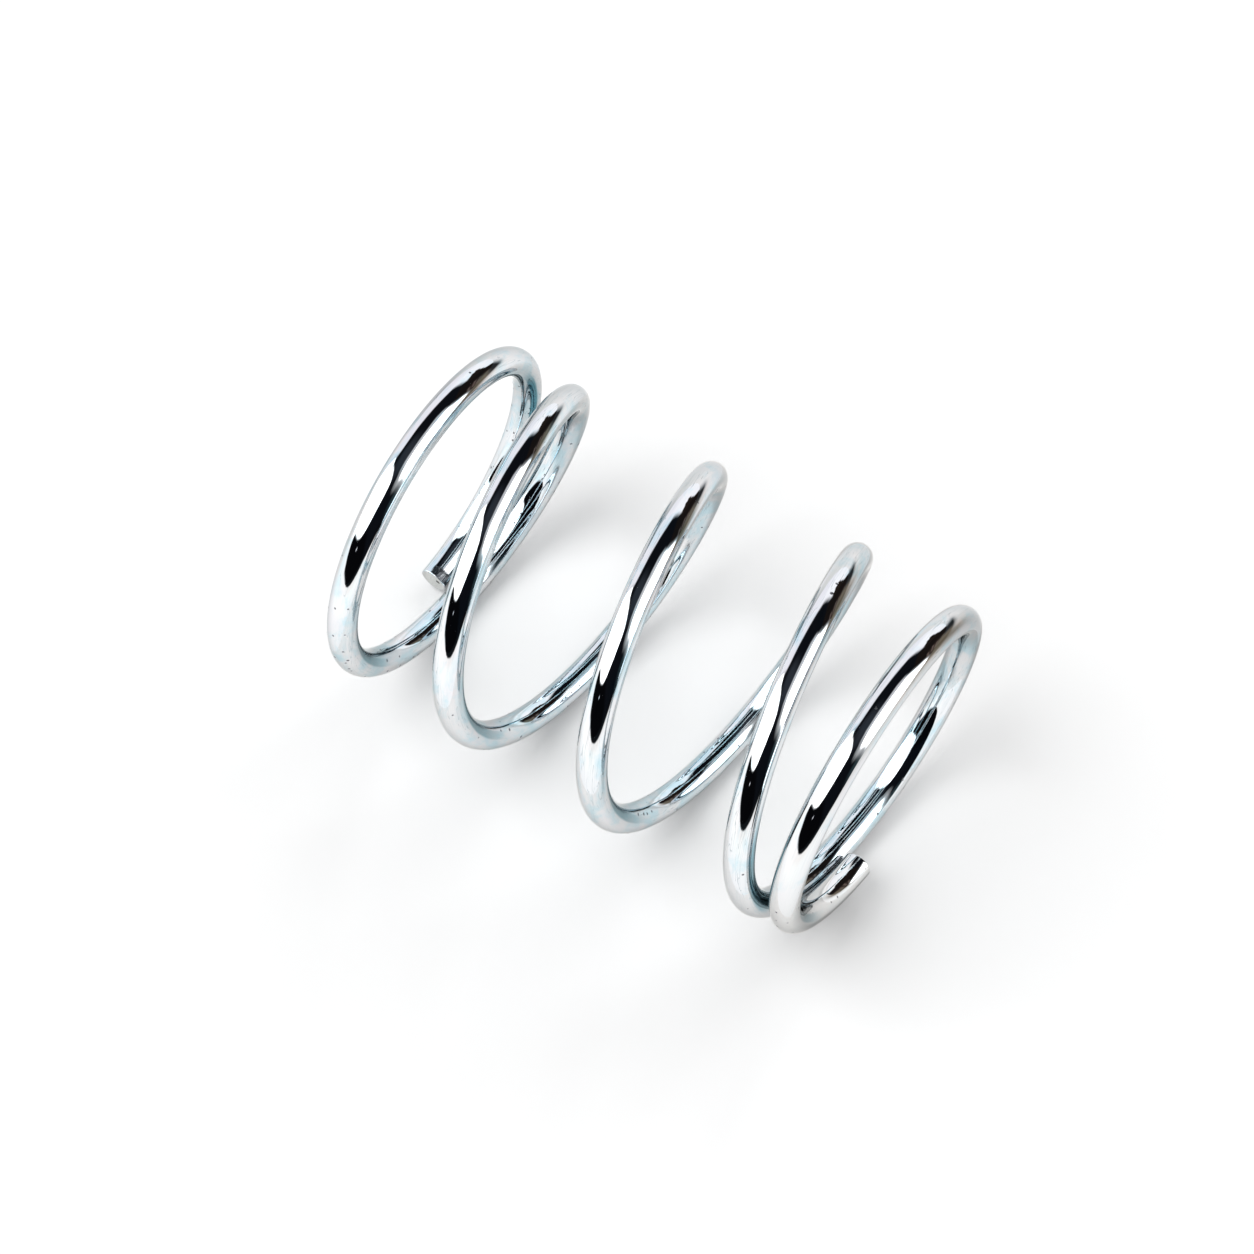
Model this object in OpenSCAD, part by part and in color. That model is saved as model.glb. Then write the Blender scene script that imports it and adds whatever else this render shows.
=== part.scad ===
// Helical compression spring: round wire, right-hand wound, closed ends left
// unground and cut square to the wire.
// Millimetres. The coil axis lies along X, Z is up, and the spring lies on
// its side with the lowest coils on z = 0. The left end is at -X.

/* [Wire] */
// wire diameter
wire_d = 2.0; // [1.6:0.1:2.2]
// width of the broken edge round each cut face
cut_edge = 0.08; // [0.04:0.01:0.2]

/* [Coil] */
// mean coil diameter, wire centre to wire centre
mean_d = 22.4; // [20:0.2:25]
// turns of wire in all, from cut end to cut end
turns = 4.968; // [4.7:0.001:5.2]
// place of the left cut end round the axis, degrees from +Y towards +Z
start_angle = -90.15; // [-100:0.05:-80]
// axial rise per turn half-way along the wire
pitch = 11.05; // [9:0.05:12.5]
// share of the pitch lost towards both ends of the wire
pitch_fall = 0.19; // [0:0.01:0.25]
// share of the pitch gained from half-way to the right end
pitch_skew = 0.034; // [-0.05:0.002:0.05]
// axial sway of the open coils at either end of the body
sway = 0.303; // [0:0.001:0.4]
// where the sway is greatest, degrees round the axis
sway_angle = -70.7; // [-180:0.1:180]

/* [Left closed end] */
// axial rise per turn of the closed coil
left_rise = 2.09; // [2.05:0.01:2.6]
// turns of wire in the closed coil
left_turns = 1.0017; // [0.9:0.0001:1.1]
// turns over which the pitch opens
left_blend = 0.069; // [0.04:0.001:0.15]
// lean of the closed coil, as axial sway at the wire
left_lean = 0.249; // [0:0.001:0.4]
// where the lean is greatest, degrees round the axis
left_lean_angle = 14.7; // [-180:0.1:180]
// shift of the closed coil off the axis, along Y and along Z
left_shift = [0.156, 0.321];

/* [Right closed end] */
// axial rise per turn of the closed coil
right_rise = 0.862; // [0.8:0.001:2.4]
// turns of wire in the closed coil
right_turns = 0.953; // [0.9:0.001:1.1]
// turns over which the pitch closes
right_blend = 0.15; // [0.08:0.001:0.2]
// lean of the closed coil, as axial sway at the wire
right_lean = 0.459; // [0:0.001:0.6]
// where the lean is greatest, degrees round the axis
right_lean_angle = -21.1; // [-180:0.1:180]
// how much smaller the closed coil is wound, on its mean diameter
right_tight = 0.446; // [0:0.002:0.8]
// shift of the closed coil off the axis, along Y and along Z
right_shift = [-0.143, 0.288];
// turns of wire at the cut end that spring away from the coil beside them
right_free = 0.35; // [0.1:0.01:0.5]
// how far the cut end is curled in towards the axis
right_curl = 0.418; // [0:0.002:0.8]
// how far the cut end stands out along the axis
right_lift = 0.327; // [0:0.001:0.6]

/* [Hidden] */

r_coil = mean_d / 2;

// The wire is swept as rings of points: a ring at each cut end, and rings
// between them every 360/rings_a_turn degrees, set so that the spring lies on
// the middle of a facet and not on a corner.
sides = 16;
rings_a_turn = 48;
step = 360 / rings_a_turn;

// Corner radius that gives the many-sided section the area of the round wire.
r_wire = wire_d / 2 * sqrt(2 * PI / (sides * sin(360 / sides)));

first_angle = -90 + step * (0.5 + floor((start_angle + 90) / step - 0.4));
between = [for (a = first_angle; a < start_angle + 360 * turns - step / 10; a = a + step)
    if (a > start_angle + step / 10) (a - start_angle) / 360];
places = concat([0], between, [turns]);         // turns from the left cut end
last = len(places) - 1;

// Smooth steps along the wire, t in turns from the left cut end.
function opening(t) = 1 / (1 + exp(-2 * (t - left_turns) / left_blend));
function closing(t) = 1 / (1 + exp(-2 * (t - turns + right_turns) / right_blend));
function body(t) = opening(t) * (1 - closing(t));
function along(t) = 2 * t / turns - 1;          // -1 at the left end, +1 at the right
function angle_at(t) = start_angle + 360 * t;

// Axial rise per turn: closed, open, closed.
function rise(t) = left_rise * (1 - opening(t)) + right_rise * closing(t)
    + body(t) * pitch * (1 + pitch_skew * along(t) - pitch_fall * pow(along(t), 2));

// Axial travel from one ring to the next by Simpson's rule, added up.
function travelled(a, b) = (b - a) * (rise(a) + 4 * rise((a + b) / 2) + rise(b)) / 6;
travel = [for (i = 0, x = 0; i <= last;
               x = x + (i < last ? travelled(places[i], places[i + 1]) : 0), i = i + 1) x];

// The last of the wire springs away: 0 before it starts, 1 at the cut end.
function freed(t) = pow(max(0, 1 - (turns - t) / right_free), 2);

// Axial sway: each closed coil leans a little, and the body bows in between.
function lean(t) = right_lift * freed(t) + (1 - opening(t)) * left_lean * cos(angle_at(t) - left_lean_angle)
    + closing(t) * right_lean * cos(angle_at(t) - right_lean_angle)
    + body(t) * along(t) * sway * cos(angle_at(t) - sway_angle);

// Wire centre in the plane square to the axis.
function out(t) = [cos(angle_at(t)), sin(angle_at(t))];
function round_axis(t) = (r_coil - closing(t) * right_tight / 2 - right_curl * freed(t)) * out(t)
    + (1 - opening(t)) * left_shift + closing(t) * right_shift;

// Wire centre at ring i, and the wire's direction there.
function centre(i) = let (t = places[i], c = round_axis(t)) [travel[i] + lean(t), c[0], c[1]];
function heading(i) = let (t = places[i], h = 0.0005,
        c = (round_axis(t + h) - round_axis(t - h)) / (2 * h))
    unit([rise(t) + (lean(t + h) - lean(t - h)) / (2 * h), c[0], c[1]]);
function unit(v) = v / norm(v);

// A ring of points of radius r round p, square to the direction d. The first
// point is the one furthest from the coil axis.
function ring(p, d, o, r) = let (u = unit(o - (o * d) * d), v = cross(d, u))
    [for (k = [0 : sides - 1]) p + r * (cos(360 * k / sides) * u + sin(360 * k / sides) * v)];
function ring_at(i, shift = 0, inset = 0) = let (o = out(places[i]))
    ring(centre(i) + shift * heading(i), heading(i), [0, o[0], o[1]], r_wire - inset);

// All the rings, with a smaller one at each end for the broken edge.
rings = concat([ring_at(0, 0, cut_edge)], [ring_at(0, cut_edge)],
    [for (i = [1 : last - 1]) ring_at(i)],
    [ring_at(last, -cut_edge)], [ring_at(last, 0, cut_edge)]);
count = len(rings);
loose = [for (r = rings) each r];

// Centred over the ground point, with the lowest coils on z = 0.
low = [for (k = [0 : 2]) min([for (p = loose) p[k]])];
high = [for (k = [0 : 2]) max([for (p = loose) p[k]])];
origin = [(low[0] + high[0]) / 2, (low[1] + high[1]) / 2, low[2]];
points = [for (p = loose) p - origin];

function at(i, k) = i * sides + k % sides;
skin = [for (i = [0 : count - 2], k = [0 : sides - 1])
    each [[at(i, k), at(i + 1, k), at(i + 1, k + 1)], [at(i, k), at(i + 1, k + 1), at(i, k + 1)]]];
left_cut = [for (k = [0 : sides - 1]) at(0, k)];
right_cut = [for (k = [sides - 1 : -1 : 0]) at(count - 1, k)];

// The spring: one length of bright zinc-plated wire.
module coil_spring() {
    color([0.80, 0.84, 0.87])
        polyhedron(points = points, faces = concat([left_cut], skin, [right_cut]), convexity = 10);
}

coil_spring();
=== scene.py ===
import math

import bpy
import numpy as np
from mathutils import Matrix, Vector


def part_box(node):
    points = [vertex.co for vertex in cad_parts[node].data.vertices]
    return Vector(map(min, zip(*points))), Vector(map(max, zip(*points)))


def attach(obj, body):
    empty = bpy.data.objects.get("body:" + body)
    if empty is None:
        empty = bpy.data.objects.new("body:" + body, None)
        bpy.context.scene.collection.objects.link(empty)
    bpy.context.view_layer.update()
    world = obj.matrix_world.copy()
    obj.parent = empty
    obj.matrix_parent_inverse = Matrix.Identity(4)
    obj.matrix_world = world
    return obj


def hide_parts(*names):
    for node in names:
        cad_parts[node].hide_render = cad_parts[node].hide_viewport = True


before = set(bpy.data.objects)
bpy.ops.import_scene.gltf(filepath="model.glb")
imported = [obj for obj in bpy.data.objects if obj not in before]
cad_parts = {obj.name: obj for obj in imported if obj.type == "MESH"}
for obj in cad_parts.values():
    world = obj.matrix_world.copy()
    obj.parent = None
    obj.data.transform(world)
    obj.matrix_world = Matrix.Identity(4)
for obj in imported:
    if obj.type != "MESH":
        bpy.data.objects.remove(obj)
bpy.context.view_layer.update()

MM = 0.001

# ------------------------------------------------------------------ the wire
# The same line that the construction model follows, in millimetres.
WIRE = 2.0
MEAN = 22.4
TURNS = 4.968
START = -90.15
PITCH, FALL, SKEW = 11.05, 0.19, 0.034
SWAY, SWAY_AT = 0.303, -70.7
L_RISE, L_TURNS, L_BLEND = 2.09, 1.0017, 0.069
L_LEAN, L_LEAN_AT, L_SHIFT = 0.249, 14.7, (0.156, 0.321)
R_RISE, R_TURNS, R_BLEND = 0.862, 0.953, 0.15
R_LEAN, R_LEAN_AT, R_SHIFT = 0.459, -21.1, (-0.143, 0.288)
R_TIGHT, R_FREE, R_CURL, R_LIFT = 0.446, 0.35, 0.418, 0.327
R_TRIM = 0.15
PINCH_AT = -150.0                     # degrees round the wire from its outer side


def step_at(t, where, width):
    return 1.0 / (1.0 + np.exp(-2.0 * (t - where) / width))


def wire_line(t):
    """Wire centre, in mm, at t turns from the left cut end, t rising from 0."""
    a = np.radians(START + 360.0 * t)
    opening = step_at(t, L_TURNS, L_BLEND)
    closing = step_at(t, TURNS - R_TURNS, R_BLEND)
    body = opening * (1.0 - closing)
    s = 2.0 * t / TURNS - 1.0
    rise = L_RISE * (1 - opening) + R_RISE * closing + body * PITCH * (1 + SKEW * s - FALL * s * s)
    x = np.concatenate([[0.0], np.cumsum((rise[1:] + rise[:-1]) / 2 * np.diff(t))])
    freed = np.clip(1 - (TURNS - t) / R_FREE, 0, None) ** 2
    x = x + R_LIFT * freed + (1 - opening) * L_LEAN * np.cos(a - math.radians(L_LEAN_AT))
    x = x + closing * R_LEAN * np.cos(a - math.radians(R_LEAN_AT))
    x = x + body * s * SWAY * np.cos(a - math.radians(SWAY_AT))
    r = MEAN / 2 - closing * R_TIGHT / 2 - R_CURL * freed
    return np.stack([
        x,
        r * np.cos(a) + (1 - opening) * L_SHIFT[0] + closing * R_SHIFT[0],
        r * np.sin(a) + (1 - opening) * L_SHIFT[1] + closing * R_SHIFT[1],
    ], axis=1), a


def frames(t):
    p, a = wire_line(t)
    d = np.gradient(p, t, axis=0, edge_order=2)
    d /= np.linalg.norm(d, axis=1)[:, None]
    out = np.stack([0 * a, np.cos(a), np.sin(a)], axis=1)
    u = out - (out * d).sum(1)[:, None] * d
    u /= np.linalg.norm(u, axis=1)[:, None]
    return p, d, u, np.cross(d, u)


def build_wire():
    sides, n = 64, 1400
    fine = np.linspace(0, TURNS, 20001)
    pf, _ = wire_line(fine)
    length = np.concatenate([[0], np.cumsum(np.linalg.norm(np.diff(pf, axis=0), axis=1))])
    # the right-hand cut is a hair short of the construction's; rings lie closer together near both cuts
    near_cut = np.arange(1, 20) * 0.06
    reach = length[-1] - R_TRIM
    stations = np.unique(np.concatenate([np.linspace(0, reach, n), near_cut, reach - near_cut]))
    n = len(stations)
    t = np.interp(stations, length, fine)
    # sample the smooth line densely, so that each ring lies where the construction has it
    grid = np.unique(np.concatenate([fine, t]))
    pg, dg, ug, vg = frames(grid)
    pick = np.searchsorted(grid, t)
    p, d, u, v = pg[pick], dg[pick], ug[pick], vg[pick]
    s = np.interp(t, fine, length)
    ph = np.arange(sides) * 2 * np.pi / sides
    r = WIRE / 2
    edge = 0.03
    rings, along, around = [], [], []

    def dent(at):
        """The cutter's pinch, pressed into one side of the wire just behind the left-hand cut."""
        k = np.clip((np.cos(ph - math.radians(PINCH_AT)) - 0.72) / 0.2, 0, 1)
        fade = np.clip((0.95 - at) / 0.5, 0, 1)
        return 0.07 * (k * k * (3 - 2 * k) * fade * fade * (3 - 2 * fade))[:, None]

    def add(i, back, inset):
        c = p[i] + back * d[i]
        rr = r - inset - dent(s[i] + back)
        rings.append(c + rr * (np.cos(ph)[:, None] * u[i] + np.sin(ph)[:, None] * v[i]))
        along.append(np.full(sides, s[i] + back))
        around.append(ph)

    for k in (1.0, 0.7, 0.3):
        add(0, edge * (1 - k) ** 1.5, edge * k ** 1.5)
    for i in range(n):
        if edge < s[i] < reach - edge:
            add(i, 0, 0)
    for k in (0.3, 0.7, 1.0):
        add(n - 1, -edge * (1 - k) ** 1.5, edge * k ** 1.5)
    rings = np.array(rings)
    m = len(rings)
    co = rings.reshape(-1, 3)
    ends = np.array([p[0], p[-1]])
    co = np.concatenate([co, ends])
    low, high = co.min(0), co.max(0)
    box_low, box_high = (np.array(c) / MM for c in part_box("coil_spring"))
    shift = (box_low + box_high) / 2 - (low + high) / 2
    shift[2] = box_low[2] - low[2]
    co = (co + shift) * MM

    faces = []
    for i in range(m - 1):
        for k in range(sides):
            k1 = (k + 1) % sides
            faces.append((i * sides + k, (i + 1) * sides + k, (i + 1) * sides + k1, i * sides + k1))
    a0, a1 = m * sides, m * sides + 1
    for k in range(sides):
        k1 = (k + 1) % sides
        faces.append((a0, k, k1))
        faces.append((a1, (m - 1) * sides + k1, (m - 1) * sides + k))
    mesh = bpy.data.meshes.new("coil_spring_wire")
    mesh.from_pydata(co.tolist(), [], faces)
    mesh.validate()
    mesh.update()
    cut = len(faces) - 2 * sides
    smooth = np.ones(len(faces), bool)
    smooth[cut:] = False
    mesh.polygons.foreach_set("use_smooth", smooth)
    # where each point is on the wire: round it (as a point on a circle, in mm) and along it
    along = np.concatenate([np.array(along).ravel(), [0, reach]])
    around = np.array(around).ravel()
    wire = np.zeros((len(co), 3))
    wire[:-2, 0] = np.cos(around)
    wire[:-2, 1] = np.sin(around)
    wire[:, 2] = along
    at = mesh.attributes.new("wire", "FLOAT_VECTOR", "POINT")
    at.data.foreach_set("vector", wire.astype(np.float32).ravel())
    # which part of the coil each point is on: (cos, sin) of the angle round the coil axis, and the turn
    turn = np.interp(along, length, fine)
    angle = np.radians(START + 360.0 * turn)
    at = mesh.attributes.new("coil", "FLOAT_VECTOR", "POINT")
    at.data.foreach_set("vector", np.stack([np.cos(angle), np.sin(angle), turn], axis=1).astype(np.float32).ravel())
    obj = bpy.data.objects.new("coil_spring_wire", mesh)
    bpy.context.scene.collection.objects.link(obj)
    return obj, shift, reach


spring, shift, wire_length = build_wire()
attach(spring, "root")
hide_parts("coil_spring")


# ------------------------------------------------------------- node helpers
class Nodes:
    def __init__(self, tree):
        self.tree = tree

    def new(self, kind, **props):
        node = self.tree.nodes.new(kind)
        for k, v in props.items():
            setattr(node, k, v)
        return node

    def put(self, socket, value):
        if isinstance(value, bpy.types.NodeSocket):
            self.tree.links.new(value, socket)
        else:
            socket.default_value = value

    def math(self, op, *args, clamp=False):
        n = self.new("ShaderNodeMath", operation=op, use_clamp=clamp)
        for i, a in enumerate(args):
            self.put(n.inputs[i], a)
        return n.outputs[0]

    def dot(self, v, w):
        n = self.new("ShaderNodeVectorMath", operation="DOT_PRODUCT")
        self.put(n.inputs[0], v)
        self.put(n.inputs[1], w)
        return n.outputs["Value"]

    def smooth(self, x, lo, hi, out0=0.0, out1=1.0):
        n = self.new("ShaderNodeMapRange", interpolation_type="SMOOTHSTEP")
        self.put(n.inputs["Value"], x)
        self.put(n.inputs["From Min"], lo)
        self.put(n.inputs["From Max"], hi)
        self.put(n.inputs["To Min"], out0)
        self.put(n.inputs["To Max"], out1)
        return n.outputs["Result"]

    def mix(self, fac, a, b, blend="MIX"):
        n = self.new("ShaderNodeMix", data_type="RGBA", blend_type=blend)
        self.put(n.inputs[0], fac)
        self.put(n.inputs[6], a)
        self.put(n.inputs[7], b)
        return n.outputs[2]


def rgb(r, g, b):
    return (r, g, b, 1.0)


# -------------------------------------------------------------- zinc plating
def zinc():
    mat = bpy.data.materials.new("bright_zinc")
    mat.use_nodes = True
    tree = mat.node_tree
    tree.nodes.clear()
    n = Nodes(tree)
    out = n.new("ShaderNodeOutputMaterial")
    bsdf = n.new("ShaderNodeBsdfPrincipled")
    tree.links.new(bsdf.outputs[0], out.inputs[0])

    wire = n.new("ShaderNodeAttribute", attribute_name="wire")
    part = n.new("ShaderNodeSeparateXYZ")
    n.put(part.inputs[0], wire.outputs["Vector"])
    x, y, along = part.outputs
    coil = n.new("ShaderNodeAttribute", attribute_name="coil")
    place = n.new("ShaderNodeSeparateXYZ")
    n.put(place.inputs[0], coil.outputs["Vector"])
    cos_a, sin_a, turn = place.outputs

    def surface(around, length, shift=0.0):
        """A point on the wire surface, with its own scale round the wire and along it."""
        v = n.new("ShaderNodeCombineXYZ")
        n.put(v.inputs[0], n.math("MULTIPLY", x, around))
        n.put(v.inputs[1], n.math("MULTIPLY", y, around))
        n.put(v.inputs[2], n.math("MULTIPLY_ADD", along, length, shift))
        return v.outputs[0]

    def noise(vector, detail=2.0, rough=0.5, distortion=0.0):
        t = n.new("ShaderNodeTexNoise")
        n.put(t.inputs["Vector"], vector)
        t.inputs["Scale"].default_value = 1.0
        t.inputs["Detail"].default_value = detail
        t.inputs["Roughness"].default_value = rough
        t.inputs["Distortion"].default_value = distortion
        return t.outputs["Fac"]

    # cut faces: inside the wire, the point is nearer the middle than the surface
    rim = n.math("SQRT", n.math("ADD", n.math("MULTIPLY", x, x), n.math("MULTIPLY", y, y)))
    face = n.smooth(rim, 0.90, 0.97, 1.0, 0.0)

    # draw lines: fine scratches along the wire, and broader shallow grooves
    lines = noise(surface(11.0, 0.35), 3.0, 0.55)
    grooves = noise(surface(3.4, 0.22, 7.0), 2.0, 0.5)
    waves = noise(surface(1.1, 0.55, 3.0), 2.0, 0.5)
    # plating: clouds of grey, cyan and a trace of pink; thin longer stains
    cloud = noise(surface(0.9, 0.42, 11.0), 4.0, 0.6, 0.35)
    tint = noise(surface(0.7, 0.21, 23.0), 3.0, 0.55, 0.2)
    streak = noise(surface(5.0, 0.5, 31.0), 3.0, 0.6)

    # pits and specks: a few small cells hold a dark dot, most of them low on the coil and on the first turn
    round_it = n.math("ARCTAN2", y, x)
    unrolled = n.new("ShaderNodeCombineXYZ")
    n.put(unrolled.inputs[0], round_it)
    n.put(unrolled.inputs[1], along)
    spots = n.new("ShaderNodeTexVoronoi", feature="F1", voronoi_dimensions="2D")
    n.put(spots.inputs["Vector"], unrolled.outputs[0])
    spots.inputs["Scale"].default_value = 1.25
    cell = n.new("ShaderNodeSeparateColor")
    n.put(cell.inputs[0], spots.outputs["Color"])
    low = n.smooth(sin_a, -0.1, 0.7, 1.0, 0.12)
    first = n.smooth(along, 64.0, 74.0, 0.32, 0.09)
    chosen = n.math("LESS_THAN", cell.outputs[0], n.math("MULTIPLY", low, first))
    size = n.math("MULTIPLY_ADD", cell.outputs[1], 0.085, 0.095)
    speck = n.smooth(n.math("DIVIDE", spots.outputs["Distance"], size), 0.45, 1.0, 1.0, 0.0)
    speck = n.math("MULTIPLY", speck, chosen)

    # colour
    silver = rgb(0.646, 0.661, 0.678)
    cyan = rgb(0.462, 0.602, 0.660)
    pink = rgb(0.652, 0.632, 0.662)
    # bluer on the side that faces the coil axis, and most of all on the second and third turns
    bluer = n.math("MULTIPLY_ADD", x, -0.07, n.math("SUBTRACT", cloud, n.smooth(along, 190.0, 330.0, 0.0, 0.07)))
    bluer = n.math("SUBTRACT", bluer, n.smooth(along, 8.0, 28.0, 0.07, 0.0))
    colour = n.mix(n.smooth(bluer, 0.375, 0.66), silver, cyan)
    colour = n.mix(n.math("MULTIPLY", n.smooth(tint, 0.52, 0.66), 0.45), colour, pink)
    patch = n.smooth(tint, 0.38, 0.60, 1.0, 0.35)
    colour = n.mix(n.math("MULTIPLY", n.math("MULTIPLY", n.smooth(streak, 0.50, 0.66), patch), 0.15), colour, rgb(0.36, 0.47, 0.52))
    colour = n.mix(n.math("MULTIPLY", n.math("MULTIPLY", n.smooth(lines, 0.50, 0.66), patch), 0.12), colour, rgb(0.33, 0.38, 0.41))
    # a few long dark hairlines along the wire
    hair = n.math("MULTIPLY", n.smooth(n.math("ABSOLUTE", n.math("SUBTRACT", grooves, 0.50)), 0.0, 0.014, 1.0, 0.0), n.smooth(tint, 0.44, 0.54, 1.0, 0.0))
    colour = n.mix(n.math("MULTIPLY", hair, 0.40), colour, rgb(0.13, 0.21, 0.25))
    colour = n.mix(n.math("MULTIPLY", speck, 0.85), colour, rgb(0.085, 0.085, 0.10))
    # greyer on the last stretch before the right-hand cut, with painted shade underneath where the wire would mirror
    # the shadow below it
    last = n.smooth(along, wire_length - 24.0, wire_length - 12.0)
    painted_underside_shade = n.math("ADD", n.math("MULTIPLY", x, math.cos(math.radians(-68))), n.math("MULTIPLY", y, math.sin(math.radians(-68))))
    painted_underside_shade = n.math("MULTIPLY", n.smooth(painted_underside_shade, 0.76, 0.97), n.smooth(along, wire_length - 13.0, wire_length - 8.0))
    greyer_end_and_painted_shade = n.mix(painted_underside_shade, rgb(0.645, 0.645, 0.642), rgb(0.14, 0.14, 0.145))
    colour = n.mix(n.math("MULTIPLY", last, n.math("MULTIPLY_ADD", speck, -0.8, 0.8)), colour, greyer_end_and_painted_shade)
    # painted shade: dark blue-green tints stand in for the shaded floor and neighbouring turns that the wire mirrors,
    # on the inner side of the first turn, on each turn's -Y side, and on a short stretch of the fourth turn

    def facing(angle):
        """1 where the wire's surface faces this angle (degrees round the wire), less away from it."""
        return n.math("ADD", n.math("MULTIPLY", x, math.cos(math.radians(angle))), n.math("MULTIPLY", y, math.sin(math.radians(angle))))

    # painted shade on the first turn's inner side, 12 to 23.5 mm along the wire
    painted_teal_shade_inner = n.math("MULTIPLY", n.smooth(n.math("MULTIPLY_ADD", tint, 0.03, facing(-119)), 0.965, 0.992),
                   n.math("MULTIPLY", n.smooth(along, 12.0, 14.5), n.smooth(along, 20.0, 23.5, 1.0, 0.0)))
    colour = n.mix(n.math("MULTIPLY", painted_teal_shade_inner, 0.80), colour, rgb(0.045, 0.235, 0.300))
    # painted shade along one side of the wire on each turn's -Y side
    painted_teal_shade_side = n.math("MULTIPLY", n.smooth(n.math("MULTIPLY_ADD", tint, 0.04, facing(-119)), 0.955, 1.0), n.smooth(cos_a, -0.97, -0.72, 1.0, 0.0))
    colour = n.mix(n.math("MULTIPLY", painted_teal_shade_side, 0.74), colour, rgb(0.10, 0.235, 0.285))
    # painted shade on one side of a short stretch of the fourth turn, 257 to 272 mm along the wire
    low = n.math("MULTIPLY", n.smooth(facing(-106), 0.74, 0.90), n.math("MULTIPLY", n.smooth(along, 257.0, 262.0), n.smooth(along, 268.0, 272.0, 1.0, 0.0)))
    colour = n.mix(n.math("MULTIPLY", low, 0.72), colour, rgb(0.09, 0.30, 0.38))
    # crushed by the cutter just behind the left-hand cut: dark, with bright scrapes along it
    crush = noise(surface(2.6, 0.6, 41.0), 3.0, 0.6)
    side = n.math("ADD", n.math("MULTIPLY", x, math.cos(math.radians(PINCH_AT))), n.math("MULTIPLY", y, math.sin(math.radians(PINCH_AT))))
    side = n.math("MULTIPLY_ADD", crush, 0.16, n.math("SUBTRACT", side, n.math("MULTIPLY_ADD", along, 0.10, 0.08)))
    pinch = n.math("MULTIPLY", n.smooth(along, 0.72, 0.95, 1.0, 0.0), n.smooth(side, 0.70, 0.78))
    pinch = n.math("MULTIPLY", pinch, n.math("MULTIPLY", n.smooth(along, 0.03, 0.07), n.math("SUBTRACT", 1.0, face)))
    scrape = noise(surface(7.0, 0.9, 61.0), 2.0, 0.5)
    crushed = n.mix(n.smooth(scrape, 0.54, 0.62), rgb(0.028, 0.032, 0.040), rgb(0.13, 0.14, 0.15))
    colour = n.mix(n.math("MULTIPLY", pinch, 0.92), colour, crushed)
    # cut faces: bare steel, marked by the shear, with one dark dot and a grey lip
    shear = noise(surface(7.0, 0.0, 5.0), 3.0, 0.6)
    steel = n.mix(n.smooth(shear, 0.35, 0.75), rgb(0.71, 0.73, 0.72), rgb(0.58, 0.60, 0.595))
    steel = n.mix(n.math("MULTIPLY", n.smooth(y, 0.50, 0.85), 0.45), steel, rgb(0.42, 0.43, 0.43))
    dot_x, dot_y = n.math("ADD", x, 0.26), n.math("ADD", y, 0.44)
    dot = n.math("SQRT", n.math("ADD", n.math("MULTIPLY", dot_x, dot_x), n.math("MULTIPLY", dot_y, dot_y)))
    steel = n.mix(n.math("MULTIPLY", n.smooth(dot, 0.12, 0.21, 1.0, 0.0), 0.96), steel, rgb(0.03, 0.03, 0.03))
    colour = n.mix(face, colour, steel)
    n.put(bsdf.inputs["Base Color"], colour)
    bsdf.inputs["Metallic"].default_value = 1.0
    bsdf.inputs["Specular Tint"].default_value = rgb(0.60, 0.61, 0.61)

    # roughness
    rough = n.math("MULTIPLY_ADD", n.smooth(cloud, 0.40, 0.75), 0.030, 0.012)
    rough = n.math("MULTIPLY_ADD", n.smooth(lines, 0.5, 0.8), 0.035, rough)
    rough = n.math("MULTIPLY_ADD", speck, 0.35, rough)
    rough = n.math("MULTIPLY_ADD", pinch, 0.25, rough)
    rough = n.math("ADD", n.math("MULTIPLY", rough, n.math("SUBTRACT", 1.0, face)), n.math("MULTIPLY", face, 0.34))
    n.put(bsdf.inputs["Roughness"], rough)

    # relief, in metres: each noise runs from 0 to 1 over the depth given
    height = n.math("MULTIPLY", lines, DEPTH_LINES)
    height = n.math("MULTIPLY_ADD", grooves, DEPTH_GROOVES, height)
    height = n.math("MULTIPLY_ADD", waves, DEPTH_WAVES, height)
    height = n.math("MULTIPLY_ADD", speck, -6.0, height)
    height = n.math("MULTIPLY_ADD", n.math("MULTIPLY", face, shear), 14.0, height)
    height = n.math("MULTIPLY_ADD", n.math("MULTIPLY", pinch, scrape), -30.0, height)
    bump = n.new("ShaderNodeBump")
    bump.inputs["Strength"].default_value = 1.0
    bump.inputs["Distance"].default_value = 1e-6
    n.put(bump.inputs["Height"], height)
    n.put(bsdf.inputs["Normal"], bump.outputs[0])
    return mat


# depth of the relief, in micrometres
DEPTH_LINES, DEPTH_GROOVES, DEPTH_WAVES = 0.6, 2.4, 6.0
mat = zinc()
spring.data.materials.append(mat)

# --------------------------------------------------------------------- floor
def paper(name, height, back, glow):
    """A round of pale paper: the colour it gives back, and how much light it adds."""
    mesh = bpy.data.meshes.new(name)
    mesh.from_pydata([(3.0 * math.cos(k * math.pi / 64), 3.0 * math.sin(k * math.pi / 64), height) for k in range(128)],
                     [], [tuple(range(128))])
    obj = bpy.data.objects.new(name, mesh)
    bpy.context.scene.collection.objects.link(obj)
    m = bpy.data.materials.new(name)
    m.use_nodes = True
    b = m.node_tree.nodes["Principled BSDF"]
    b.inputs["Base Color"].default_value = rgb(*back)
    b.inputs["Emission Color"].default_value = rgb(1, 1, 1)
    b.inputs["Emission Strength"].default_value = glow
    b.inputs["Roughness"].default_value = 1.0
    b.inputs["Specular IOR Level"].default_value = 0.0
    m.cycles.emission_sampling = "NONE"
    mesh.materials.append(m)
    return obj


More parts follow.
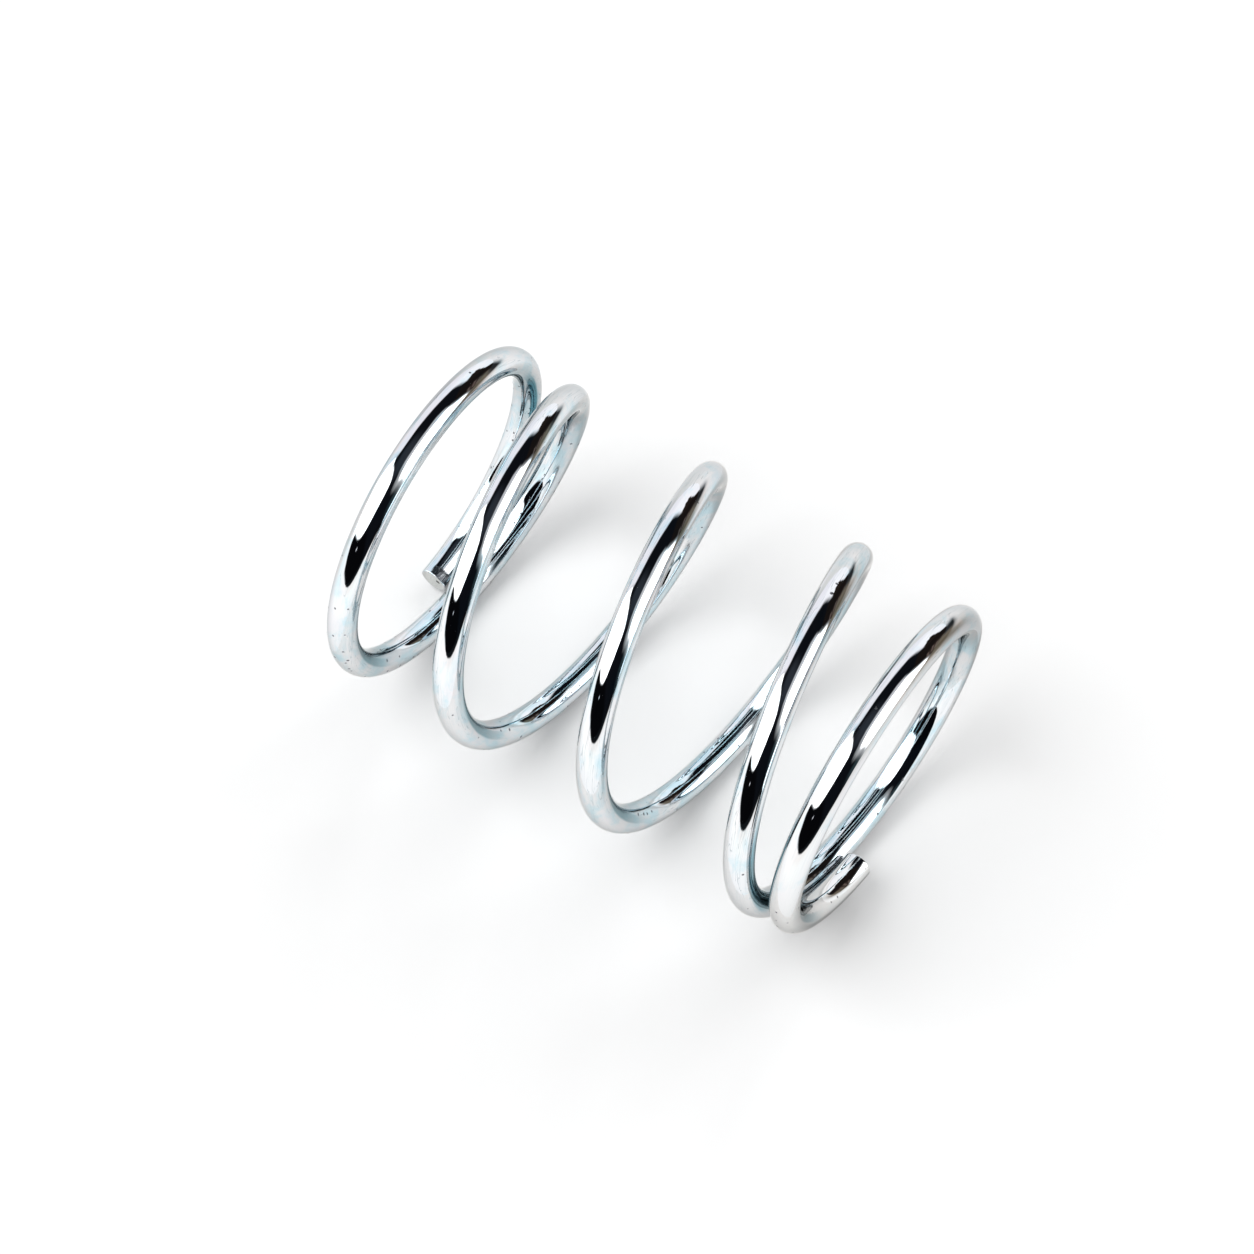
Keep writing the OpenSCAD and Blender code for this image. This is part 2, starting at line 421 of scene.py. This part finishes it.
# The photograph clips the paper to white, but the wire mirrors it at its full
# brightness: the paper that the wire mirrors is its own sheet, a little paler.
PAPER = 0.8                           # how much light the paper gives back
floor = paper("paper", 0.0, (PAPER, PAPER, PAPER), 0.0)
floor.visible_glossy = False
MIRRORED_PAPER = rgb(1.0, 0.975, 0.955)
# painted reflection: a sheet seen only in the wire, paler than the paper the camera sees and glowing faintly
mirrored_floor = paper("paper_mirrored", 0.00005, MIRRORED_PAPER[:3], 0.10)
mirrored_floor.visible_camera = False
mirrored_floor.visible_diffuse = False
mirrored_floor.visible_shadow = False


def shade_under(obj):
    """Painted shadow: darker paper under the spring and behind it, as the wire mirrors it, on top of the shadow the
    lamps cast.
    """
    tree = obj.data.materials[0].node_tree
    n = Nodes(tree)
    at = n.new("ShaderNodeSeparateXYZ")
    n.put(at.inputs[0], n.new("ShaderNodeTexCoord").outputs["Object"])
    colour = MIRRORED_PAPER
    # each patch of painted shadow: its middle and half sizes in mm, and how much light it keeps
    for cx, cy, rx, ry, keeps in ((4, 4, 27, 17, 0.90), (-14, 5, 9, 11, 0.84), (8, 18, 22, 8, 0.76), (21, 20, 10, 8, 0.85)):
        across = n.math("MULTIPLY_ADD", at.outputs[0], 1000 / rx, -cx / rx)
        deep = n.math("MULTIPLY_ADD", at.outputs[1], 1000 / ry, -cy / ry)
        away = n.math("SQRT", n.math("ADD", n.math("MULTIPLY", across, across), n.math("MULTIPLY", deep, deep)))
        colour = n.mix(n.smooth(away, 0.4, 1.3, 1.0, 0.0), colour, rgb(keeps, keeps, keeps), "MULTIPLY")
    n.put(tree.nodes["Principled BSDF"].inputs["Base Color"], colour)


shade_under(mirrored_floor)

# -------------------------------------------------------------------- lights
# What the wire mirrors: the studio drawn as a plan of the sky. Straight up is
# the middle of the plan, the horizon is the circle of radius 1, +X is to the
# right and +Y is up. Each region is an outline, a brightness and a soft edge.
STUDIO = 3.0                          # metres from the spring to the walls
BOX_RIGHT = [(0.40, 0.41), (0.375, 0.25), (0.36, 0.06), (0.37, -0.03), (0.42, -0.085), (0.50, -0.12), (0.60, -0.105),
             (0.70, -0.06), (0.80, -0.015), (0.90, 0.02), (1.1, 0.08), (1.1, 0.68), (0.86, 0.675), (0.72, 0.645), (0.65, 0.605),
             (0.575, 0.530), (0.520, 0.490), (0.500, 0.425), (0.480, 0.462), (0.450, 0.455)]
BOX_RIGHT_EDGE = [(0.195, 0.31), (0.185, 0.10), (0.190, -0.06), (0.24, -0.12), (0.36, -0.16), (0.45, -0.17), (0.50, 0.0), (0.5, 0.45), (0.383, 0.432), (0.27, 0.40)]
BOX_RIGHT_FOOT = [(0.30, -0.10), (0.36, -0.19), (0.45, -0.215), (0.58, -0.20), (0.70, -0.14), (0.84, -0.075), (0.96, -0.03), (1.0, 0.06), (0.6, 0.0), (0.4, 0.0)]
BOX_RIGHT_DIM = [(0.945, 0.02), (1.1, 0.02), (1.1, 0.26), (0.975, 0.22), (0.955, 0.14)]
BOX_LEFT = [(-1.1, 0.0), (-0.62, -0.01), (-0.56, -0.045), (-0.46, -0.096), (-0.383, -0.115), (-0.25, -0.145), (-0.15, -0.172),
            (0.0, -0.213), (0.07, -0.236), (0.115, -0.27), (0.134, -0.33), (0.125, -0.42), (0.096, -0.495), (0.04, -0.572),
            (-0.02, -0.613), (-0.08, -0.640), (-0.19, -0.650), (-0.326, -0.640), (-0.44, -0.612), (-0.575, -0.565),
            (-0.69, -0.517), (-0.80, -0.478), (-1.1, -0.47)]
LOW_RIM = [(-0.80, -0.478), (-0.765, -0.580), (-0.685, -0.680), (-0.607, -0.756), (-0.529, -0.826), (-0.430, -0.884),
           (-0.333, -0.925), (-0.194, -0.971), (-0.05, -1.003), (0.05, -1.2), (-1.2, -1.2), (-1.2, -0.47)]
WALL = [(-1.3, -0.01), (0.0, -0.01), (0.30, 0.9), (0.36, 1.3), (-1.3, 1.3)]
WALL_LIT = [(-0.45, 0.60), (-0.12, 0.53), (0.30, 0.72), (0.36, 1.3), (-0.6, 1.3)]
CEILING = [(-0.56, -0.02), (-0.52, 0.06), (-0.485, 0.19), (-0.41, 0.35), (-0.34, 0.47), (-0.285, 0.565), (-0.17, 0.61), (-0.03, 0.645), (0.04, 0.70),
           (0.12, 0.76), (0.9, 0.76), (0.9, -0.6), (0.0, -0.6)]
ZENITH = [(-0.30, -0.10), (-0.33, 0.02), (-0.20, 0.10), (0.0, 0.12), (0.19, 0.10), (0.19, -0.16), (0.0, -0.2)]
BACK = [(0.05, 0.60), (0.09, 0.75), (0.10, 0.86), (0.13, 0.93), (0.135, 1.2), (0.65, 1.2), (0.95, 0.83), (0.74, 0.66), (0.4, 0.5)]
BACK_TOOTH = [(-0.12, 0.800), (-0.07, 0.842), (0.02, 0.853), (0.04, 0.875), (0.14, 0.890), (0.16, 0.68), (0.0, 0.690), (-0.03, 0.725),
              (-0.09, 0.750), (-0.07, 0.775)]
BACK_STRIPES = [[(0.42, 0.735), (0.62, 0.695), (0.63, 0.715), (0.43, 0.760)], [(0.44, 0.795), (0.60, 0.742), (0.615, 0.762), (0.45, 0.818)],
                [(0.50, 0.655), (0.66, 0.650), (0.67, 0.672), (0.50, 0.680)]]
BACK_BROWN = [(0.46, 0.70), (0.40, 0.80), (0.37, 1.2), (0.8, 1.2), (0.95, 0.83), (0.80, 0.72), (0.62, 0.68)]
BACK_PALE = [(0.40, 1.2), (0.42, 0.90), (0.50, 0.82), (0.58, 0.77), (0.68, 0.74), (0.80, 0.88), (0.75, 1.2)]
TEAL = [(0.70, -0.08), (0.98, 0.0), (1.02, -0.20), (0.80, -0.20)]
LAMP = [(-0.075, -0.728), (-0.045, -0.722), (-0.035, -0.735), (-0.05, -0.745), (-0.078, -0.742)]


def cover(q, outline, soft):
    """How far the plan points q are inside an outline, from 0 to 1 over an edge 2*soft wide."""
    pts = np.array(outline, float)
    dist = np.full(len(q), 1e9)
    inside = np.zeros(len(q), bool)
    for p0, p1 in zip(pts, np.roll(pts, -1, axis=0)):
        e = p1 - p0
        w = q - p0
        k = np.clip((w @ e) / (e @ e), 0, 1)
        dist = np.minimum(dist, np.hypot(*(w - k[:, None] * e).T))
        crosses = (p0[1] > q[:, 1]) != (p1[1] > q[:, 1])
        at = p0[0] + (q[:, 1] - p0[1]) / (p1[1] - p0[1] if p1[1] != p0[1] else 1e-9) * e[0]
        inside ^= crosses & (q[:, 0] < at)
    x = np.clip((np.where(inside, dist, -dist) + soft) / (2 * soft), 0, 1)
    return x * x * (3 - 2 * x)


def mirrored_only(obj):
    """Staging that the wire mirrors, and that lights or hides nothing else."""
    obj.visible_camera = False
    obj.visible_diffuse = False
    obj.visible_shadow = False


def build_studio():
    rows, cols = 150, 480
    zen = np.linspace(0, 91.0, rows + 1)[1:]
    az = np.arange(cols) * 2 * np.pi / cols
    zz, aa = np.meshgrid(np.radians(zen), az, indexing="ij")
    zz, aa = np.concatenate([[0.0], zz.ravel()]), np.concatenate([[0.0], aa.ravel()])
    dirs = np.stack([np.sin(zz) * np.cos(aa), np.sin(zz) * np.sin(aa), np.cos(zz)], axis=1)
    plan = (zz / (np.pi / 2))[:, None] * np.stack([np.cos(aa), np.sin(aa)], axis=1)

    sky = np.tile([0.003, 0.003, 0.004], (len(plan), 1))

    def lay(outline, colour, soft):
        nonlocal sky
        c = cover(plan, outline, soft)[:, None]
        sky = sky * (1 - c) + np.array(colour) * c

    lay(WALL, (1.27, 1.25, 1.32), 0.05)
    lay(WALL_LIT, (1.42, 1.42, 1.46), 0.18)
    lay(CEILING, (0.006, 0.007, 0.010), 0.045)
    lay(ZENITH, (0.036, 0.042, 0.054), 0.10)
    lay(BACK, (0.014, 0.010, 0.009), 0.025)
    lay(BACK_TOOTH, (0.020, 0.014, 0.012), 0.014)
    lay(BACK_BROWN, (0.055, 0.037, 0.030), 0.06)
    for stripe in BACK_STRIPES:
        lay(stripe, (0.20, 0.145, 0.125), 0.014)
    lay(BACK_PALE, (0.25, 0.212, 0.160), 0.05)
    lay(TEAL, (0.035, 0.056, 0.063), 0.08)
    lay(LOW_RIM, (1.5, 1.52, 1.54), 0.02)
    lay(LAMP, (1.6, 1.6, 1.7), 0.010)
    lay(BOX_RIGHT_EDGE, (0.75, 0.76, 0.79), 0.035)
    lay(BOX_RIGHT_FOOT, (0.40, 0.41, 0.42), 0.04)
    lay(BOX_RIGHT, (1.4, 1.4, 1.4), 0.08)
    lay(BOX_RIGHT, (BOX_LEVEL,) * 3, 0.03)
    lay(BOX_RIGHT_DIM, (0.45, 0.44, 0.44), 0.025)
    lay(BOX_LEFT, (BOX_LEVEL,) * 3, 0.018)

    faces = [(0, 1 + k, 1 + (k + 1) % cols) for k in range(cols)]
    for i in range(rows - 1):
        for k in range(cols):
            k1 = (k + 1) % cols
            faces.append((1 + i * cols + k, 1 + (i + 1) * cols + k, 1 + (i + 1) * cols + k1, 1 + i * cols + k1))
    mesh = bpy.data.meshes.new("studio")
    mesh.from_pydata((dirs * STUDIO).tolist(), [], faces)
    col = mesh.attributes.new("light", "FLOAT_COLOR", "POINT")
    rgba = np.concatenate([sky, np.ones((len(sky), 1))], axis=1)
    col.data.foreach_set("color", rgba.astype(np.float32).ravel())
    mesh.update()
    m = bpy.data.materials.new("studio_walls")
    m.use_nodes = True
    m.node_tree.nodes.clear()
    m.cycles.emission_sampling = "NONE"
    nn = Nodes(m.node_tree)
    e = nn.new("ShaderNodeEmission")
    at = nn.new("ShaderNodeAttribute", attribute_name="light")
    m.node_tree.links.new(at.outputs["Color"], e.inputs[0])
    m.node_tree.links.new(e.outputs[0], nn.new("ShaderNodeOutputMaterial").inputs[0])
    mesh.materials.append(m)
    dome = bpy.data.objects.new("studio", mesh)
    bpy.context.scene.collection.objects.link(dome)
    mirrored_only(dome)


# The table as the wire mirrors it: compass angle and brightness, near the spring and beyond the picture.
TABLE_NEAR = [(0, 1.24, 1.24, 1.22), (15, 1.14, 1.12, 1.10), (30, 0.97, 0.94, 0.91), (39, 0.55, 0.51, 0.46), (45, 0.36, 0.33, 0.28), (52, 0.50, 0.45, 0.39), (60, 1.00, 0.93, 0.88),
              (75, 1.34, 1.31, 1.28), (90, 1.42, 1.36, 1.33), (105, 1.33, 1.31, 1.30), (120, 1.25, 1.24, 1.23), (135, 1.13, 1.12, 1.10),
              (150, 0.98, 0.97, 0.98), (165, 0.93, 0.92, 0.94), (180, 1.13, 1.08, 1.06), (195, 1.16, 1.12, 1.08), (208, 1.50, 1.50, 1.48),
              (225, 1.60, 1.60, 1.57), (270, 1.60, 1.60, 1.56), (300, 1.52, 1.54, 1.51), (330, 1.46, 1.47, 1.46), (345, 1.44, 1.41, 1.38),
              (360, 1.24, 1.24, 1.22)]
TABLE_FAR = [(0, 1.01, 1.03, 1.01), (15, 1.00, 0.93, 0.88), (30, 0.80, 0.71, 0.62), (40, 0.26, 0.22, 0.17), (48, 0.17, 0.14, 0.10),
             (58, 0.24, 0.195, 0.145), (63, 0.12, 0.11, 0.10), (68, 0.030, 0.032, 0.034), (77, 0.032, 0.036, 0.040), (81, 0.32, 0.34, 0.35),
             (87, 1.00, 0.99, 0.99), (92, 1.30, 1.27, 1.26), (105, 1.28, 1.24, 1.22), (120, 1.13, 1.13, 1.11), (138, 1.05, 1.05, 1.03),
             (150, 0.62, 0.63, 0.66), (158, 0.85, 0.85, 0.87), (165, 1.24, 1.17, 1.18), (180, 1.31, 1.20, 1.16), (195, 1.27, 1.22, 1.21),
             (208, 1.58, 1.55, 1.53), (240, 1.60, 1.54, 1.52), (270, 1.56, 1.50, 1.47), (300, 1.42, 1.38, 1.34), (330, 1.36, 1.33, 1.30),
             (345, 1.22, 1.19, 1.16), (360, 1.01, 1.03, 1.01)]
# where the table ends, as compass angle and metres: the dark room is seen past it
TABLE_END = [(0, 9.0), (260, 9.0), (268, 1.2), (276, 0.42), (285, 0.27), (300, 0.20), (315, 0.175), (330, 0.150), (345, 0.165), (353, 0.24),
             (358, 0.9), (360, 9.0)]
PAPER_LIT = 1.46                      # the open paper, as the wire mirrors it


def build_table():
    radii = (0.027, 0.033, 0.040, 0.050, 0.062, 0.078, 0.095, 0.115, 0.13, 0.145, 0.16, 0.175, 0.19, 0.21, 0.24, 0.28, 0.34, 0.45, 0.7,
             1.2, 2.95)
    n = 240
    az = np.arange(n) * 360.0 / n

    def tone(table):
        table = np.array(table)
        return np.stack([np.interp(az, table[:, 0], table[:, k]) for k in (1, 2, 3)], axis=1)

    def ramp(x):
        x = min(max(x, 0.0), 1.0)
        return x * x * (3 - 2 * x)

    end = np.array(TABLE_END)
    end = np.exp(np.interp(az, end[:, 0], np.log(end[:, 1])))
    co, col, faces = [], [], []
    for r in radii:
        a, b = ramp((r - 0.027) / 0.035), ramp((r - 0.062) / 0.070)
        co.append(np.stack([r * np.cos(np.radians(az)), r * np.sin(np.radians(az)), np.full(n, 0.0004)], axis=1))
        lit = PAPER_LIT * (1 - 0.25 * np.exp(-((az - 42) / 14.0) ** 2))[:, None]
        shade = lit * (1 - a) + tone(TABLE_NEAR) * a
        shade = shade * (1 - b) + tone(TABLE_FAR) * b
        past = np.clip((r / end - 0.88) / 0.30, 0, 1)[:, None]
        past = past * past * (3 - 2 * past)
        col.append(shade * (1 - past) + np.array([0.010, 0.012, 0.014]) * past)
    for i in range(len(radii) - 1):
        for k in range(n):
            k1 = (k + 1) % n
            faces.append((i * n + k, (i + 1) * n + k, (i + 1) * n + k1, i * n + k1))
    mesh = bpy.data.meshes.new("table")
    mesh.from_pydata(np.concatenate(co).tolist(), [], faces)
    at = mesh.attributes.new("light", "FLOAT_COLOR", "POINT")
    rgba = np.concatenate([np.concatenate(col), np.ones((len(radii) * n, 1))], axis=1)
    at.data.foreach_set("color", rgba.astype(np.float32).ravel())
    mesh.update()
    mesh.materials.append(bpy.data.materials["studio_walls"])
    obj = bpy.data.objects.new("table", mesh)
    bpy.context.scene.collection.objects.link(obj)
    mirrored_only(obj)


BOX_LEVEL = 4.0                       # brightness of the two soft boxes in the wire
build_studio()
build_table()

# What lights the paper: soft lamps, each given as compass angle, angle from
# straight up, half its own width and height (degrees), and the brightness that
# it alone gives the bare paper. The wire doesn't mirror them: it has the studio.
LAMPS = [
    ("key", 214, 33, 21, 21, 0.46),
    ("back", 84, 57, 29, 29, 0.29),
]
AMBIENT = 0.44
for name, az, zen, wide, high, level in LAMPS:
    az, zen = math.radians(az), math.radians(zen)
    d = Vector((math.sin(zen) * math.cos(az), math.sin(zen) * math.sin(az), math.cos(zen)))
    away = 8.0
    light = bpy.data.lights.new(name, "AREA")
    light.shape = "ELLIPSE"
    light.size = 2 * away * math.tan(math.radians(wide))
    light.size_y = 2 * away * math.tan(math.radians(high))
    light.energy = level * math.pi / PAPER * away ** 2 / d.z * math.pi
    lamp = bpy.data.objects.new(name, light)
    lamp.matrix_world = Matrix.Translation(d * away) @ d.to_track_quat("Z", "Y").to_matrix().to_4x4()
    lamp.visible_camera = False
    lamp.visible_glossy = False
    bpy.context.scene.collection.objects.link(lamp)

world = bpy.data.worlds.new("studio_paper")
bpy.context.scene.world = world
world.use_nodes = True
world.cycles.sampling_method = "NONE"
wt = world.node_tree
wt.nodes.clear()
w = Nodes(wt)
path = w.new("ShaderNodeLightPath")
seen = w.new("ShaderNodeBackground")
seen.inputs[0].default_value = rgb(1, 1, 1)
wt.links.new(w.math("ADD", path.outputs["Is Camera Ray"], w.math("MULTIPLY", path.outputs["Is Diffuse Ray"], AMBIENT / PAPER)), seen.inputs[1])
wt.links.new(seen.outputs[0], w.new("ShaderNodeOutputWorld").inputs[0])

# -------------------------------------------------------------------- camera
# Where the camera stands, in coil radii from the middle of the coil axis.
RADIUS = MEAN / 2
LINE_START = 18.0001                  # mm along the axis from the left end's start
eye = (Vector((3.97695822, -6.45506254, 15.69754898)) * RADIUS + Vector((LINE_START, 0, 0)) + Vector(shift.tolist())) * MM
look = Vector((-0.23721517, 0.36915481, -0.89858427))
up = Vector((-0.48577333, 0.75596162, 0.43880099))
right = look.cross(up)
cam = bpy.data.cameras.new("camera")
cam.sensor_width = 36.0
cam.lens = 36.0 * 3000.0 / 1254.0
cam.clip_start = 0.001
cam.clip_end = 50.0
camera = bpy.data.objects.new("camera", cam)
camera.matrix_world = Matrix((
    (right.x, up.x, -look.x, eye.x),
    (right.y, up.y, -look.y, eye.y),
    (right.z, up.z, -look.z, eye.z),
    (0, 0, 0, 1)))
bpy.context.scene.collection.objects.link(camera)
bpy.context.scene.camera = camera

scene = bpy.context.scene
scene.view_settings.view_transform = "Standard"
scene.view_settings.look = "None"
scene.view_settings.exposure = 0.0
scene.view_settings.gamma = 1.0
